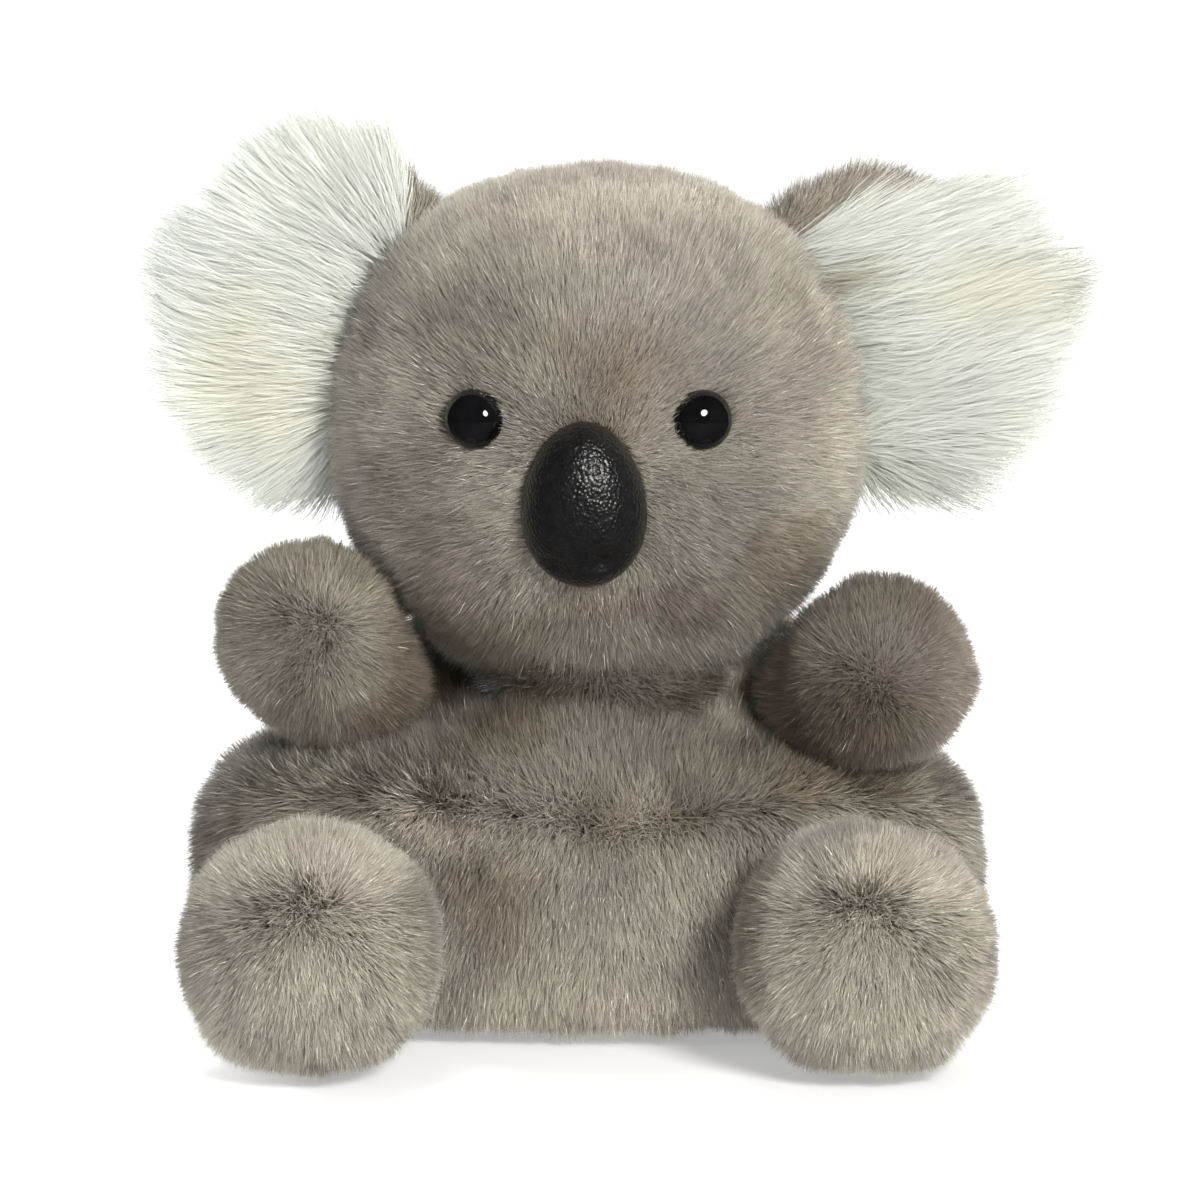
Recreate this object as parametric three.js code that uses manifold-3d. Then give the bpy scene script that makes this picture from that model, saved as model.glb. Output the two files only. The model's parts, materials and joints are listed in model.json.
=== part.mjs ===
// A palm sized sitting koala: grey plush panels sewn over stuffing, with a bag of pellets in its seat.
// Millimetres, +Z up. The koala faces -Y, and left and right are as seen from the front, so left is -X.
// The origin is the middle of the flat face that it sits on. Each body, head and limb surface here is
// the face of the combed pile, so a panel's thickness is its backing and its pile together.
import * as THREE from 'three';
import { mergeVertices } from 'three/addons/utils/BufferGeometryUtils.js';
import Module from 'manifold-3d';

const wasm = await Module();
wasm.setup();

// Cloth, seams and clearances
const plushThickness = 3.4;
const seamGap = 0.3;
const fitGap = 0.3;
const ballGap = 1; // a socket is this much larger than the ball that turns in it
const standingCut = 0.5; // a rounded form is cut flat this deep where it stands
const farPast = 160; // cutting blocks reach this far

// Lower body, a wide cushion
const lapWidth = 103;
const lapDepth = 54;
const lapHeight = 39.5;
const lapBack = 4; // its middle lies this far behind the origin
const baseHeight = 4; // the bottom panel comes this far up the sides
const lapSeamDrop = 4.5; // the seam across the front lies this far below the top

// Upper body, which carries the neck and the arms
const chestWidth = 60;
const chestDepth = 40;
const chestTop = 45.3;
const chestBottom = 4;
const chestBack = 5;
const chestTaper = 0.04;
const sideSeamBack = 8; // the front panels meet the back panel here

// Pellet bag in the seat
const bagWidth = 72;
const bagDepth = 30;
const bagHeight = 15;
const bagFlat = 1.5; // the bag is flat this deep where it lies on the bottom panel
const bagWall = 0.9;
const bagMouthRadius = 5;

// Neck, a ball of stuffing that the head turns and nods on
const neckSink = 1.4; // the middle of the ball lies this far below the chest's top
const neckBack = 3;
const neckRadius = 15;
const threadRadius = 0.6;
const threadRise = 2.8; // the seam runs this far above the middle of the ball, sunk flush into it
const threadSides = 5;

// Head
const headWidth = 68.4;
const headDepth = 59;
const headHeight = 67;
const headGap = 0.1; // between the chest's top and the head
const headBack = 3;
const headAside = 1.2; // the head sits a little towards the right
const headSeamBack = 8; // the face panels meet the back panel here

// Eyes, each a domed button on a shank with a washer behind the cloth
const eyeSpacing = 30.2;
const eyeRise = 36.5; // above the bottom of the head, as are the nose's and the ears' rises
const eyeRadius = 3.9;
const eyeDome = 3.1;
const eyeSink = 2;
const eyeShankRadius = 1.3;
const eyeWasherRadius = 4.8;

// Nose, an egg shaped button on a shank with a washer
const noseWidth = 15.8;
const noseHeight = 21.6;
const noseDome = 7;
const noseRise = 25.5;
const noseAside = -0.5;
const noseTaper = 0.12;
const noseSink = 2.4;
const noseShankRadius = 2;
const noseWasherRadius = 6.5;

const washerThickness = 1.2;
const shankTail = 1;

// Ears, flat pads with their root along the side of the head
const earReach = 37; // from root edge to outer edge, before the head cuts it
const earLength = 48; // along the root
const earThickness = 12;
const earLean = 20; // degrees, the tops lean together
const earBack = 7;
const earOut = 6.5; // the pad's middle lies this far out from its root line
const earSplit = 1; // the white front is the thicker part by this much
const earFold = 20; // degrees each way
const earRoom = 0.9; // the root keeps this much room to fold beside the head

// Arms, from a ball at the shoulder to a larger one at the paw
const shoulderInset = 4; // from the side of the chest
const shoulderDrop = 2.5; // from the top of the lower body
const shoulderBack = 4;
const shoulderRadius = 9;
const pawRadius = 12.3;
const cheekRoom = 4.2; // the paws are dented to clear the cheeks
const armRoom = 1.8; // and the upper arms to clear the body

// Legs, from a ball at the hip to a larger one at the foot
const hipInset = 20.5; // from the side of the lower body
const hipHeight = 16.5;
const hipDepth = 4.5; // behind the front of the lower body
const hipRadius = 11.5;
const footRadius = 16.4;
const footAhead = 17; // the foot's middle lies this far in front of the hip
const footOut = 4.2;
const toeSeamHeight = 22.5;
const legLift = 25; // degrees
const legDroop = 5;
const legRoom = 1.8; // the legs are dented to clear the body as they lift

// The pose: the left paw is raised, the right one reaches forward, and the ears sit unevenly
const leftPawOut = 10;
const leftPawAhead = 11;
const leftPawUp = 15.1;
const leftEarRise = 44.4;
const rightPawOut = 11.5;
const rightPawAhead = 15;
const rightPawUp = 11.2;
const rightEarRise = 41.4;

// How finely each kind of form is cut into flats
const fine = { around: 24, along: 13 };
const middling = { around: 16, along: 10 };
const coarse = { around: 13, along: 8 };

const plushGrey = { color: 0x9a9188, roughness: 0.95 };
const plushWhite = { color: 0xf1f3f1, roughness: 0.95 };
const fillingWhite = { color: 0xe9e6df, roughness: 1 };
const glossBlack = { color: 0x0b0b0c, roughness: 0.12 };
const grainBlack = { color: 0x111112, roughness: 0.4 };
const washerWhite = { color: 0xdedcd4, roughness: 0.5 };
const bagCloth = { color: 0xcfcabf, roughness: 0.9 };
const pelletGrey = { color: 0xb9bcb8, roughness: 0.6 };
const threadGrey = { color: 0x7d756d, roughness: 0.9 };

const headBottom = chestTop + headGap;
const lapSeamHeight = lapHeight - lapSeamDrop;
const sides = [
  {
    name: 'left',
    sign: -1,
    paw: new THREE.Vector3(-leftPawOut, -leftPawAhead, leftPawUp),
    earRise: leftEarRise,
  },
  {
    name: 'right',
    sign: 1,
    paw: new THREE.Vector3(rightPawOut, -rightPawAhead, rightPawUp),
    earRise: rightEarRise,
  },
];

// Solids

function welded(geometry) {
  // Joins the corners that lie on each other, before the geometry is shaped or moved.
  geometry.deleteAttribute('normal');
  geometry.deleteAttribute('uv');
  return mergeVertices(geometry);
}

function toSolid(geometry) {
  // Makes a solid of a welded geometry.
  const corners = geometry.index.array;
  const kept = [];
  for (let i = 0; i < corners.length; i += 3) {
    const [a, b, c] = corners.slice(i, i + 3);
    if (a !== b && b !== c && c !== a) kept.push(a, b, c); // a lathe leaves empty ones at its poles
  }
  return new wasm.Manifold(new wasm.Mesh({
    numProp: 3,
    vertProperties: geometry.attributes.position.array,
    triVerts: new Uint32Array(kept),
  }));
}

function toGeometry(solid) {
  const mesh = solid.getMesh();
  const geometry = new THREE.BufferGeometry();
  geometry.setAttribute('position', new THREE.BufferAttribute(mesh.vertProperties, 3));
  geometry.setIndex(new THREE.BufferAttribute(mesh.triVerts, 1));
  return geometry;
}

function moved(solid, matrix) {
  return toSolid(toGeometry(solid).applyMatrix4(matrix));
}

function beyond(axis, limit, side) {
  // All the space past a plane across one axis, x, y or z: side is 1 for above it and -1 for below it.
  const block = welded(new THREE.BoxGeometry(2 * farPast, 2 * farPast, 2 * farPast));
  const shift = new THREE.Vector3();
  shift[axis] = limit + side * farPast;
  return toSolid(block.translate(shift.x, shift.y, shift.z));
}

const radians = THREE.MathUtils.degToRad;

// Rounded forms. The powers square the form off: 2 gives an ellipsoid and more gives a cushion.

function blob(form, shrink, flats) {
  const { centre, radii, planPower = 2, risePower = 2, taper = 0 } = form;
  const geometry = welded(new THREE.SphereGeometry(1, flats.around, flats.along).rotateX(Math.PI / 2));
  const place = geometry.attributes.position;
  for (let i = 0; i < place.count; i++) {
    const unit = new THREE.Vector3().fromBufferAttribute(place, i);
    const plan = Math.abs(unit.x) ** planPower + Math.abs(unit.y) ** planPower;
    const size = (plan ** (risePower / planPower) + Math.abs(unit.z) ** risePower) ** (-1 / risePower);
    const narrow = 1 - taper * unit.z * size;
    place.setXYZ(
      i,
      centre.x + unit.x * size * narrow * (radii.x - shrink),
      centre.y + unit.y * size * narrow * (radii.y - shrink),
      centre.z + unit.z * size * (radii.z - shrink),
    );
  }
  return toSolid(geometry);
}

function ball(centre, radius, flats) {
  return blob({ centre, radii: new THREE.Vector3(radius, radius, radius) }, 0, flats);
}

function arcPoints(radius, height, from, to, steps) {
  // Points of an outline about the lathe's axis, with angles from the level of the arc's centre.
  return Array.from({ length: steps + 1 }, (_, i) => {
    const angle = from + (to - from) * i / steps;
    return new THREE.Vector2(radius * Math.cos(angle), height + radius * Math.sin(angle));
  });
}

function limb(spec, shrink, flats) {
  // A stub that swells from its root ball to its end ball.
  const reach = new THREE.Vector3().subVectors(spec.end, spec.root);
  const root = spec.rootRadius - shrink;
  const end = spec.endRadius - shrink;
  const flare = Math.asin((end - root) / reach.length());
  const rootSteps = Math.round(flats.along / 3);
  const rootArc = arcPoints(root, 0, -Math.PI / 2, -flare, rootSteps);
  const endArc = arcPoints(end, reach.length(), -flare, Math.PI / 2, flats.along - rootSteps);
  rootArc[0].x = 0;
  endArc[endArc.length - 1].x = 0;
  const geometry = welded(new THREE.LatheGeometry([...rootArc, ...endArc], flats.around));
  const turn = new THREE.Quaternion().setFromUnitVectors(
    new THREE.Vector3(0, 1, 0),
    reach.clone().normalize(),
  );
  return toSolid(geometry.applyQuaternion(turn).translate(spec.root.x, spec.root.y, spec.root.z));
}

function swept(solid, pivot, axis, angles) {
  // Everything that a solid covers at several angles about a pivot.
  return angles.map((angle) => {
    const matrix = new THREE.Matrix4().makeTranslation(pivot)
      .multiply(new THREE.Matrix4().makeRotationAxis(axis, radians(angle)))
      .multiply(new THREE.Matrix4().makeTranslation(pivot.clone().negate()));
    return moved(solid, matrix);
  }).reduce((all, one) => all.add(one));
}

function between(from, to, steps) {
  return Array.from({ length: steps + 1 }, (_, i) => from + (to - from) * i / steps);
}

// The forms of body and head

const lapForm = {
  centre: new THREE.Vector3(0, lapBack, (lapHeight - standingCut) / 2),
  radii: new THREE.Vector3(lapWidth / 2, lapDepth / 2, (lapHeight + standingCut) / 2),
  planPower: 2.6,
  risePower: 4.5,
};
const chestForm = {
  centre: new THREE.Vector3(0, chestBack, (chestTop + chestBottom) / 2),
  radii: new THREE.Vector3(chestWidth / 2, chestDepth / 2, (chestTop - chestBottom) / 2),
  planPower: 2.3,
  risePower: 4,
  taper: chestTaper,
};
const headForm = {
  centre: new THREE.Vector3(headAside, headBack, headBottom + headHeight / 2),
  radii: new THREE.Vector3(headWidth / 2, headDepth / 2, headHeight / 2),
  planPower: 2.1,
  risePower: 2.2,
};

function bodySolid(shrink, flats) {
  return blob(lapForm, shrink, flats).add(blob(chestForm, shrink, flats))
    .intersect(beyond('z', shrink, 1));
}

const neckPivot = new THREE.Vector3(headAside, neckBack, chestTop - neckSink);
const neckSocket = ball(neckPivot, neckRadius + ballGap, coarse);

// Groups, one for each part that moves

const koala = new THREE.Group();

function groupAt(parent, place) {
  // The parent groups are level, so a place in the whole koala less theirs is a place in them.
  const group = new THREE.Group();
  parent.updateWorldMatrix(true, false);
  group.position.copy(place).sub(new THREE.Vector3().setFromMatrixPosition(parent.matrixWorld));
  parent.add(group);
  return group;
}

function addPiece(group, name, solid, look) {
  // A solid that was cut in place becomes a mesh in its own group.
  group.updateWorldMatrix(true, false);
  const geometry = toGeometry(solid).applyMatrix4(group.matrixWorld.clone().invert());
  const mesh = new THREE.Mesh(geometry, new THREE.MeshStandardMaterial({ ...look, metalness: 0 }));
  mesh.name = name;
  group.add(mesh);
}

const neckGroup = groupAt(koala, neckPivot);
const headGroup = groupAt(neckGroup, neckPivot);

// Arms and legs

function limbSpecs(side) {
  const shoulder = new THREE.Vector3(
    side.sign * (chestWidth / 2 - shoulderInset),
    shoulderBack,
    lapHeight - shoulderDrop,
  );
  const hip = new THREE.Vector3(
    side.sign * (lapWidth / 2 - hipInset),
    lapBack - lapDepth / 2 + hipDepth,
    hipHeight,
  );
  const foot = new THREE.Vector3(
    hip.x + side.sign * footOut,
    hip.y - footAhead,
    footRadius - standingCut,
  );
  return {
    arm: {
      root: shoulder,
      end: shoulder.clone().add(side.paw),
      rootRadius: shoulderRadius,
      endRadius: pawRadius,
    },
    leg: { root: hip, end: foot, rootRadius: hipRadius, endRadius: footRadius },
  };
}

function dented(spec, shrink, flats, crowd) {
  // A limb less the larger forms that crowd it, which leave its root ball whole in its socket.
  // The cloth is pressed to half its thickness in the dent.
  const kept = ball(spec.root, spec.rootRadius + ballGap / 2 - shrink / 2, middling);
  return limb(spec, shrink, flats).subtract(crowd(shrink / 2).subtract(kept));
}

function armSolid(spec, shrink, flats) {
  return dented(spec, shrink, flats, (press) => bodySolid(-armRoom - press, fine)
    .add(blob(headForm, -cheekRoom - press, fine)));
}

function legSolid(spec, shrink, flats) {
  const across = new THREE.Vector3(1, 0, 0);
  const angles = between(-legDroop, legLift, 2);
  return dented(spec, shrink, flats, (press) => (
    swept(bodySolid(-legRoom - press, middling), spec.root, across, angles)
  )).intersect(beyond('z', shrink, 1));
}

function addLimb(group, names, outer, inner, filling, split) {
  // Two panels that meet at a seam, over stuffing.
  const shell = outer.subtract(inner);
  addPiece(group, names[0], shell.intersect(split.near), plushGrey);
  addPiece(group, names[1], shell.intersect(split.far), plushGrey);
  addPiece(group, names[2], filling, fillingWhite);
}

function addArm(side, spec) {
  const made = (shrink, flats) => armSolid(spec, shrink, flats);
  const seam = spec.end.y;
  addLimb(
    groupAt(koala, spec.root),
    [`arm_front_panel_${side.name}`, `arm_back_panel_${side.name}`, `arm_stuffing_${side.name}`],
    made(0, middling),
    made(plushThickness, coarse),
    made(plushThickness + 2 * fitGap, coarse),
    { near: beyond('y', seam - seamGap / 2, -1), far: beyond('y', seam + seamGap / 2, 1) },
  );
}

function addLeg(side, spec) {
  const made = (shrink, flats) => legSolid(spec, shrink, flats);
  addLimb(
    groupAt(koala, spec.root),
    [`leg_top_panel_${side.name}`, `leg_sole_panel_${side.name}`, `leg_stuffing_${side.name}`],
    made(0, middling),
    made(plushThickness, coarse),
    made(plushThickness + 2 * fitGap, coarse),
    {
      near: beyond('z', toeSeamHeight + seamGap / 2, 1),
      far: beyond('z', toeSeamHeight - seamGap / 2, -1),
    },
  );
}

// Body

function socketsFor(specs, flats) {
  return specs.flatMap(({ arm, leg }) => [arm, leg])
    .map((spec) => ball(spec.root, spec.rootRadius + ballGap, flats))
    .reduce((all, one) => all.add(one))
    .add(neckSocket);
}

function addBody(specs) {
  const shell = bodySolid(0, fine).subtract(bodySolid(plushThickness, coarse))
    .subtract(socketsFor(specs, middling));
  const half = seamGap / 2;
  const front = beyond('y', sideSeamBack - half, -1);
  const aboveBase = shell.intersect(beyond('z', baseHeight + half, 1));
  const chest = aboveBase.intersect(front).intersect(beyond('z', lapSeamHeight + half, 1));
  const belly = aboveBase.intersect(front).intersect(beyond('z', lapSeamHeight - half, -1));
  addPiece(koala, 'chest_panel', chest, plushGrey);
  addPiece(koala, 'belly_panel', belly, plushGrey);
  addPiece(koala, 'back_panel', aboveBase.intersect(beyond('y', sideSeamBack + half, 1)), plushGrey);
  addPiece(koala, 'base_panel', shell.intersect(beyond('z', baseHeight - half, -1)), plushGrey);

  const bagForm = {
    centre: new THREE.Vector3(0, lapBack, plushThickness + fitGap - bagFlat + bagHeight / 2),
    radii: new THREE.Vector3(bagWidth / 2, bagDepth / 2, bagHeight / 2),
    planPower: 2.4,
    risePower: 2.4,
  };
  const mouth = ball(
    bagForm.centre.clone().add(new THREE.Vector3(0, 0, bagHeight / 2)),
    bagMouthRadius,
    coarse,
  );
  const bag = (shrink, flats) => blob(bagForm, shrink, flats)
    .intersect(beyond('z', plushThickness + fitGap + shrink, 1));
  const bagShell = bag(0, coarse).subtract(bag(bagWall, coarse)).subtract(mouth);
  addPiece(koala, 'pellet_bag', bagShell, bagCloth);
  addPiece(koala, 'pellets', bag(bagWall + fitGap, coarse).subtract(mouth), pelletGrey);
  const filling = bodySolid(plushThickness + fitGap, coarse)
    .subtract(socketsFor(specs, coarse))
    .subtract(bag(-fitGap, coarse));
  addPiece(koala, 'body_stuffing', filling, fillingWhite);
}

// Neck

function addNeck() {
  const across = Math.sqrt((neckRadius - threadRadius) ** 2 - threadRise ** 2);
  const ring = (grow) => toSolid(
    welded(new THREE.TorusGeometry(across, threadRadius + grow, threadSides, middling.around))
      .translate(neckPivot.x, neckPivot.y, neckPivot.z + threadRise),
  );
  const filling = ball(neckPivot, neckRadius, coarse).subtract(ring(fitGap));
  addPiece(neckGroup, 'neck_stuffing', filling, fillingWhite);
  addPiece(neckGroup, 'neck_seam_thread', ring(0), threadGrey);
}

// Buttons of the face. Each is made facing -Y with its seat at the origin, then set on the head.

function headFront(x, z) {
  // The point and the outward direction of the head's front at a width and a height.
  const { centre, radii, planPower, risePower } = headForm;
  const across = (x - centre.x) / radii.x;
  const up = (z - centre.z) / radii.z;
  const plan = (1 - Math.abs(up) ** risePower) ** (planPower / risePower);
  const ahead = (plan - Math.abs(across) ** planPower) ** (1 / planPower);
  const spread = plan ** (risePower / planPower - 1);
  const normal = new THREE.Vector3(
    Math.sign(across) * spread * Math.abs(across) ** (planPower - 1) / radii.x,
    -spread * ahead ** (planPower - 1) / radii.y,
    Math.sign(up) * Math.abs(up) ** (risePower - 1) / radii.z,
  ).normalize();
  return { point: new THREE.Vector3(x, centre.y - ahead * radii.y, z), normal };
}

function faceGroup(x, z, sink) {
  const { point, normal } = headFront(x, z);
  const group = groupAt(headGroup, point.addScaledVector(normal, -sink));
  group.rotation.set(-Math.asin(normal.z), 0, Math.atan2(normal.x, -normal.y), 'ZYX');
  group.updateWorldMatrix(true, false);
  return group;
}

function turned(outline, around) {
  // A lathed solid whose axis points out of the face.
  return toSolid(welded(new THREE.LatheGeometry(outline, around)).rotateX(Math.PI));
}

function clothBack(sink) {
  // The back of the cloth, measured out from the button's seat.
  return sink - plushThickness;
}

function shank(radius, sink, dome, grow) {
  // The stem, from half way up inside the button's dome to a tail behind the washer.
  const length = fitGap + washerThickness + shankTail - clothBack(sink) + grow;
  return turned([
    new THREE.Vector2(0, -length),
    new THREE.Vector2(radius + grow, -length),
    new THREE.Vector2(radius + grow, dome / 2),
    new THREE.Vector2(0, dome / 2),
  ], coarse.around);
}

function washer(shankRadius, radius, sink) {
  const front = clothBack(sink) - fitGap;
  const corners = [
    new THREE.Vector2(shankRadius + fitGap, front - washerThickness),
    new THREE.Vector2(radius, front - washerThickness),
    new THREE.Vector2(radius, front),
    new THREE.Vector2(shankRadius + fitGap, front),
  ];
  return turned([...corners, corners[0].clone()], middling.around);
}

function washerPocket(radius, sink) {
  // The hollow that the washer lies in, pressed into the cloth and the stuffing.
  const front = clothBack(sink);
  const back = front - washerThickness - 2 * fitGap;
  return turned([
    new THREE.Vector2(0, back),
    new THREE.Vector2(radius + fitGap, back),
    new THREE.Vector2(radius + fitGap, front),
    new THREE.Vector2(0, front),
  ], coarse.around);
}

function eyeSolid(grow) {
  const rim = eyeRadius + grow;
  const dome = arcPoints(1, 0, 0, Math.PI / 2, 5)
    .map((point) => new THREE.Vector2(point.x * rim, point.y * (eyeDome + grow)));
  dome[dome.length - 1].x = 0;
  return turned([new THREE.Vector2(0, -grow), new THREE.Vector2(rim, -grow), ...dome], coarse.around)
    .add(shank(eyeShankRadius, eyeSink, eyeDome, grow));
}

function noseSolid(grow) {
  const form = {
    centre: new THREE.Vector3(),
    radii: new THREE.Vector3(noseWidth / 2, noseDome, noseHeight / 2),
    taper: noseTaper,
  };
  return blob(form, -grow, middling).intersect(beyond('y', grow, -1))
    .add(shank(noseShankRadius, noseSink, noseDome, grow));
}

function addButton(name, group, made, spec, look) {
  // Returns what the cloth and the stuffing lose to the button and its washer.
  const place = group.matrixWorld;
  addPiece(group, name, moved(made(0), place), look);
  const ring = washer(spec.shankRadius, spec.washerRadius, spec.sink);
  addPiece(group, `${name}_washer`, moved(ring, place), washerWhite);
  return {
    seat: moved(made(fitGap), place),
    pocket: moved(washerPocket(spec.washerRadius, spec.sink), place),
  };
}

function addHead() {
  const eyes = sides.map((side) => addButton(
    `eye_${side.name}`,
    faceGroup(side.sign * eyeSpacing / 2, headBottom + eyeRise, eyeSink),
    eyeSolid,
    { shankRadius: eyeShankRadius, washerRadius: eyeWasherRadius, sink: eyeSink },
    glossBlack,
  ));
  const nose = addButton(
    'nose',
    faceGroup(noseAside, headBottom + noseRise, noseSink),
    noseSolid,
    { shankRadius: noseShankRadius, washerRadius: noseWasherRadius, sink: noseSink },
    grainBlack,
  );
  const buttons = [...eyes, nose];
  const seats = buttons.map(({ seat }) => seat).reduce((all, one) => all.add(one));
  const pockets = buttons.map(({ pocket }) => pocket).reduce((all, one) => all.add(one));

  const shell = blob(headForm, 0, fine).subtract(blob(headForm, plushThickness, coarse))
    .subtract(neckSocket)
    .subtract(seats)
    .subtract(pockets);
  const half = seamGap / 2;
  const face = shell.intersect(beyond('y', headSeamBack - half, -1));
  addPiece(headGroup, 'face_panel_left', face.intersect(beyond('x', headAside - half, -1)), plushGrey);
  addPiece(headGroup, 'face_panel_right', face.intersect(beyond('x', headAside + half, 1)), plushGrey);
  addPiece(headGroup, 'head_back_panel', shell.intersect(beyond('y', headSeamBack + half, 1)), plushGrey);
  const filling = blob(headForm, plushThickness + fitGap, coarse)
    .subtract(neckSocket)
    .subtract(seats)
    .subtract(pockets);
  addPiece(headGroup, 'head_stuffing', filling, fillingWhite);
}

// Ears

function addEar(side) {
  const height = headBottom + side.earRise;
  const up = (height - headForm.centre.z) / headForm.radii.z;
  const back = (earBack - headForm.centre.y) / headForm.radii.y;
  const plan = (1 - Math.abs(up) ** headForm.risePower) ** (headForm.planPower / headForm.risePower);
  const out = (plan - Math.abs(back) ** headForm.planPower) ** (1 / headForm.planPower);
  const root = new THREE.Vector3(
    headForm.centre.x + side.sign * out * headForm.radii.x,
    earBack,
    height,
  );
  const group = groupAt(headGroup, root);
  group.rotation.y = -side.sign * radians(earLean);
  group.updateWorldMatrix(true, false);
  const pad = blob({
    centre: new THREE.Vector3(side.sign * earOut, 0, 0),
    radii: new THREE.Vector3(earReach / 2, earThickness / 2, earLength / 2),
    planPower: 2.2,
    risePower: 2.2,
  }, 0, middling);
  const axis = new THREE.Vector3(0, 0, 1).applyQuaternion(group.quaternion);
  const cheek = swept(blob(headForm, -earRoom, fine), root, axis, between(-earFold, earFold, 2));
  const half = seamGap / 2;
  const front = moved(pad.intersect(beyond('y', earSplit - half, -1)), group.matrixWorld).subtract(cheek);
  const rear = moved(pad.intersect(beyond('y', earSplit + half, 1)), group.matrixWorld).subtract(cheek);
  addPiece(group, `ear_front_${side.name}`, front, plushWhite);
  addPiece(group, `ear_back_${side.name}`, rear, plushGrey);
}

const specs = sides.map(limbSpecs);
addBody(specs);
addNeck();
addHead();
sides.forEach(addEar);
sides.forEach((side, i) => addArm(side, specs[i].arm));
sides.forEach((side, i) => addLeg(side, specs[i].leg));

export default koala;
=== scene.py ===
# The looks of a palm sized sitting plush koala: combed pile, white ears, button eyes and a grained nose.
# Metres, +Z up. The koala faces -Y, and left and right are as seen from the front, so left is -X.
import json
import math

import bmesh
import bpy
import numpy as np
from mathutils import Matrix, Vector


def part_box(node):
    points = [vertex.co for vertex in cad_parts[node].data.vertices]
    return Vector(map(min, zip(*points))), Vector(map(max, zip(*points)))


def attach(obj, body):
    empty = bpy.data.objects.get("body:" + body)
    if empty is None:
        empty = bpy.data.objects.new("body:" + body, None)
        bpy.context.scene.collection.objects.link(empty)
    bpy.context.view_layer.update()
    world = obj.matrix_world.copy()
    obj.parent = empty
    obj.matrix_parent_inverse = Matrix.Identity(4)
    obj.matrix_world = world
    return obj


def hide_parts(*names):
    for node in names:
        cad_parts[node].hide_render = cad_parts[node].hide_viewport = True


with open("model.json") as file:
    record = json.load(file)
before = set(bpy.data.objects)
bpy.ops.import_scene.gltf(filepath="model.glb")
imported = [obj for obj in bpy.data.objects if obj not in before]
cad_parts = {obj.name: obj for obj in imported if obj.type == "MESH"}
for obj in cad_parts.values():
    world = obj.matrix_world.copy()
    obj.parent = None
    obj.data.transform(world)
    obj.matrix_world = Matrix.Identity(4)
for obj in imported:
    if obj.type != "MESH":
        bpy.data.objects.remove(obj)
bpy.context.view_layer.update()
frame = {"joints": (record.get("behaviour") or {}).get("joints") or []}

MM = 0.001
LEFT, RIGHT = -1, 1
SIDES = {"left": LEFT, "right": RIGHT}

# Camera, as the photograph was taken
VIEW_TARGET = Vector((1.56, 0, 55.7)) * MM
VIEW_ELEVATION = math.radians(8)
VIEW_DISTANCE = 900 * MM
VIEW_WIDTH = 156 * MM
SENSOR_WIDTH = 36

# Cloth. The face of its combed pile is the CAD face.
BACKING_DEPTH = 2.6 * MM  # how deep the backing lies under that face
BACKING_THICKNESS = 0.9 * MM
BACKING_STRIP = 0.08  # the share of a baked map that the backing takes
SURFACE_LEVELS = 6  # how finely the surface of a form is divided
SEARCH_STEPS = 100  # steps outward to find that surface
SEARCH_HALVINGS = 12
LIMB_PILE = 3.4 * MM  # the pile's length on arms and legs
FLOOR_ROOM = 0.1 * MM  # what the lowest strands keep to the floor
LEAST_LEAN = 0.35  # the share of its lean that a strand keeps where no comb lays it
# A strand numbered above GLINTS gets a painted highlight in its colour as well as half the roughness.
GLINTS = 0.95  # strands with a number above this catch the light
GLINT_WIDTH = 1.3  # and are this much wider
GLINT_SOFT = 0.15  # and are lit by this share as the skin is, the rest as they face

# Head, neck and ears
HEAD_HEIGHT = 67 * MM
NECK_RADIUS = 15 * MM
EYE_SEAT = 3.2 * MM  # no pile grows this near to the middle of an eye
NOSE_SEAT = 0.86  # nor within this share, squared, of the nose's outline
EAR_LEAN = math.radians(20)
EAR_SEAT = 1.8 * MM  # how far the ears reach into the pile of the head

# Body
SEAM_HALF = 0.15 * MM  # half of the gap between two CAD panels
SEAM_LAP_DROP = 4.5 * MM  # how far the lap's seam lies below the top of its form
SHOULDER_ROOM = 0.5 * MM  # what the shoulders keep to the head

# Limbs
SHOULDER_RADIUS = 9 * MM
PAW_RADIUS = 12.3 * MM
HIP_RADIUS = 11.5 * MM
FOOT_RADIUS = 16.4 * MM
STANDING_CUT = 0.5 * MM  # how far the floor cuts into the round of the feet
CROWD_ROOM = 2.2 * MM  # what limbs keep to the head and the body


# Numbers and noise

NOISE_CELLS = 32
FIELD_STEP = 7.31  # how far apart two fields of the noise are taken
NOISE = np.random.default_rng(11).uniform(-1, 1, (NOISE_CELLS, NOISE_CELLS, NOISE_CELLS, 3))


def smooth_noise(points, size, field):
    """A vector from -1 to 1 at each point, which changes smoothly over the size and differs in each field."""
    place = points / size + field * FIELD_STEP
    low = np.floor(place).astype(int)
    part = place - low
    part = part * part * (3 - 2 * part)
    total = np.zeros((len(points), 3))
    for corner in np.ndindex(2, 2, 2):
        at = (low + corner) % NOISE_CELLS
        weight = np.where(corner, part, 1 - part).prod(axis=1)
        total += weight[:, None] * NOISE[at[:, 0], at[:, 1], at[:, 2]]
    return total


def unit(vectors):
    return vectors / np.maximum(np.linalg.norm(vectors, axis=-1, keepdims=True), 1e-12)


def dot(a, b):
    return (a * b).sum(axis=-1, keepdims=True)


def ramp(values, start, end):
    share = np.clip((values - start) / (end - start), 0, 1)
    return share * share * (3 - 2 * share)


# Forms. Each is a function of points that is below 0 inside, and about the distance outside.


def node_box(*nodes):
    boxes = [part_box(node) for node in nodes]
    low = np.min([np.array(low) for low, _ in boxes], axis=0)
    high = np.max([np.array(high) for _, high in boxes], axis=0)
    return low, high


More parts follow.
